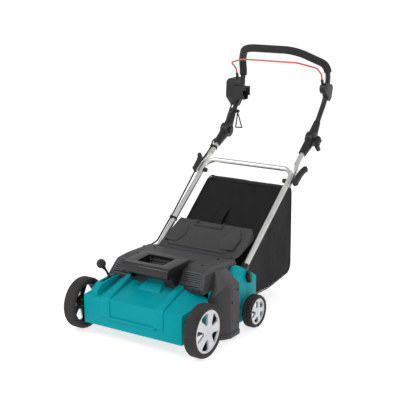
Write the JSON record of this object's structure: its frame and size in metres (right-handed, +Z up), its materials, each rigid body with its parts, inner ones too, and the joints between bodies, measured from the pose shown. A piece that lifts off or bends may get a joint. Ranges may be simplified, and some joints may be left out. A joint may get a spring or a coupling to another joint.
{
  "type": "lawn dethatcher",
  "caption": "Walk-behind electric scarifier with a bladed reel, belt drive, depth lever, folding handle with switch bail, and a rear catcher bag.",
  "frame": {"origin": "on the ground, in the middle of the machine's footprint, handle unfolded", "axes": "+X across the machine towards the belt side, +Y back towards the operator, +Z up"},
  "size_m": [0.6, 1.209, 1.03],
  "materials": {
    "teal": "satin moulded",
    "cover": "fine grain",
    "black": "satin",
    "tyre": "matt",
    "rim": "silver lacquer",
    "tube": "satin",
    "steel": "zinc",
    "dark_steel": "satin powder coat",
    "castalloy": "as cast",
    "cloth": "woven",
    "foam": "foam",
    "red": "gloss",
    "rubber": "matt"
  },
  "bodies": {
    "chassis": {"deck_housing": "teal", "motor_cover": "cover", "carry_handle": "black", "belt_cover": "cover", "cover_screws": "dark_steel", "reel_tunnel": "dark_steel", "motor_body": "castalloy", "run_capacitor": "castalloy", "drive_belt": "rubber", "reel_bearings": "steel", "rear_axle": "steel", "flap_hinge": "dark_steel", "foot_bolts": "steel", "foot_knobs": "black", "lead_deck": "rubber"},
    "front_crank": {"front_axle": "steel", "depth_lever": "dark_steel", "lever_knob": "black"},
    "front_wheel_left": {"front_tyre_left": "tyre", "front_rim_left": "rim"},
    "front_wheel_right": {"front_tyre_right": "tyre", "front_rim_right": "rim"},
    "rear_wheel_left": {"rear_tyre_left": "tyre", "rear_rim_left": "rim"},
    "rear_wheel_right": {"rear_tyre_right": "tyre", "rear_rim_right": "rim"},
    "rotor": {"rotor_shaft": "steel", "motor_pulley": "steel", "cooling_fan": "black"},
    "reel": {"reel_shaft": "steel", "reel_blades": "steel", "reel_spacers": "steel", "reel_pulley": "steel"},
    "flap": {"rear_flap": "cover"},
    "bag": {"bag_fabric": "cloth", "bag_frame": "dark_steel", "bag_strap": "cloth"},
    "lower_frame": {"lower_handle": "tube", "handle_feet": "black", "clamp_bolts": "black", "lead_fold": "rubber"},
    "upper_frame": {"upper_tube_right": "tube", "upper_tube_left": "tube", "hinge_shells": "black", "hinge_bolts": "black"},
    "clamp_lever_right_body": {"clamp_lever_right": "black"},
    "clamp_lever_left_body": {"clamp_lever_left": "black"},
    "hoop": {"hoop_tube": "dark_steel", "foam_grip": "foam", "hinge_sleeves": "black", "switch_box": "black", "power_inlet": "black", "bail_housing": "black", "lead_top": "rubber"},
    "hinge_lever_body": {"hinge_lever": "black"},
    "bail": {"bail_hubs": "black", "bail_wire": "red"},
    "button": {"start_button": "black"},
    "hook": {"cable_hook": "dark_steel"}
  },
  "joints": [
    {"name": "depth_crank", "type": "hinge", "parent": "chassis", "child": "front_crank", "pos_m": [0, -0.4604, 0.1], "axis": [1, 0, 0], "range_deg": [-20, 16]},
    {"name": "front_left_spin", "type": "hinge", "parent": "front_crank", "child": "front_wheel_left", "pos_m": [-0.275, -0.5044, 0.1], "axis": [1, 0, 0], "continuous": true},
    {"name": "front_right_spin", "type": "hinge", "parent": "front_crank", "child": "front_wheel_right", "pos_m": [0.275, -0.5044, 0.1], "axis": [1, 0, 0], "continuous": true},
    {"name": "rear_left_spin", "type": "hinge", "parent": "chassis", "child": "rear_wheel_left", "pos_m": [-0.279, -0.1464, 0.065], "axis": [1, 0, 0], "continuous": true},
    {"name": "rear_right_spin", "type": "hinge", "parent": "chassis", "child": "rear_wheel_right", "pos_m": [0.279, -0.1464, 0.065], "axis": [1, 0, 0], "continuous": true},
    {"name": "reel_spin", "type": "hinge", "parent": "chassis", "child": "reel", "pos_m": [0, -0.3264, 0.084], "axis": [1, 0, 0], "continuous": true},
    {"name": "rotor_spin", "type": "hinge", "parent": "chassis", "child": "rotor", "pos_m": [0, -0.3184, 0.217], "axis": [1, 0, 0], "continuous": true},
    {"name": "flap_hinge_turn", "type": "hinge", "parent": "chassis", "child": "flap", "pos_m": [0, -0.1524, 0.252], "axis": [1, 0, 0], "range_deg": [0, 42]},
    {"name": "bag_lift_off", "type": "slide", "parent": "chassis", "child": "bag", "axis": [0, 0.7815, 0.6239], "range_m": [0, 0.25]},
    {"name": "handle_fold", "type": "hinge", "parent": "chassis", "child": "lower_frame", "pos_m": [0, -0.1364, 0.196], "axis": [1, 0, 0], "range_deg": [0, 50], "deforming": ["lead_deck"]},
    {"name": "upper_fold", "type": "hinge", "parent": "lower_frame", "child": "upper_frame", "pos_m": [0, 0.2406, 0.497], "axis": [-1, 0, 0], "range_deg": [-122, 0], "deforming": ["lead_fold"]},
    {"name": "clamp_right_open", "type": "hinge", "parent": "upper_frame", "child": "clamp_lever_right_body", "pos_m": [0.2448, 0.2406, 0.497], "axis": [0, 0.6239, -0.7815], "range_deg": [0, 70]},
    {"name": "clamp_left_open", "type": "hinge", "parent": "upper_frame", "child": "clamp_lever_left_body", "pos_m": [-0.2448, 0.2406, 0.497], "axis": [0, -0.6239, 0.7815], "range_deg": [0, 70]},
    {"name": "hoop_tilt", "type": "hinge", "parent": "upper_frame", "child": "hoop", "pos_m": [0, 0.4436, 0.643], "axis": [1, 0, 0], "range_deg": [-25, 25], "deforming": ["lead_top"]},
    {"name": "hoop_lever_open", "type": "hinge", "parent": "upper_frame", "child": "hinge_lever_body", "pos_m": [0.2448, 0.4436, 0.643], "axis": [0, -0.6635, 0.7482], "range_deg": [0, 70]},
    {"name": "bail_squeeze", "type": "hinge", "parent": "hoop", "child": "bail", "pos_m": [0, 0.5416, 0.852], "axis": [-1, 0, 0], "range_deg": [0, 12], "stiffness_Nm_per_rad": 2, "springref_deg": -17.19},
    {"name": "start_press", "type": "slide", "parent": "hoop", "child": "button", "axis": [0, -1, 0], "range_m": [0, 0.006], "stiffness_N_per_m": 300, "springref_m": -0.002},
    {"name": "cable_hook_swing", "type": "hinge", "parent": "hoop", "child": "hook", "pos_m": [-0.191, 0.5042, 0.7199], "axis": [1, 0, 0], "range_deg": [-8, 30]}
  ],
  "couplings": [
    {"joint": "rotor_spin", "follows": "reel_spin", "ratio": 2}
  ]
}
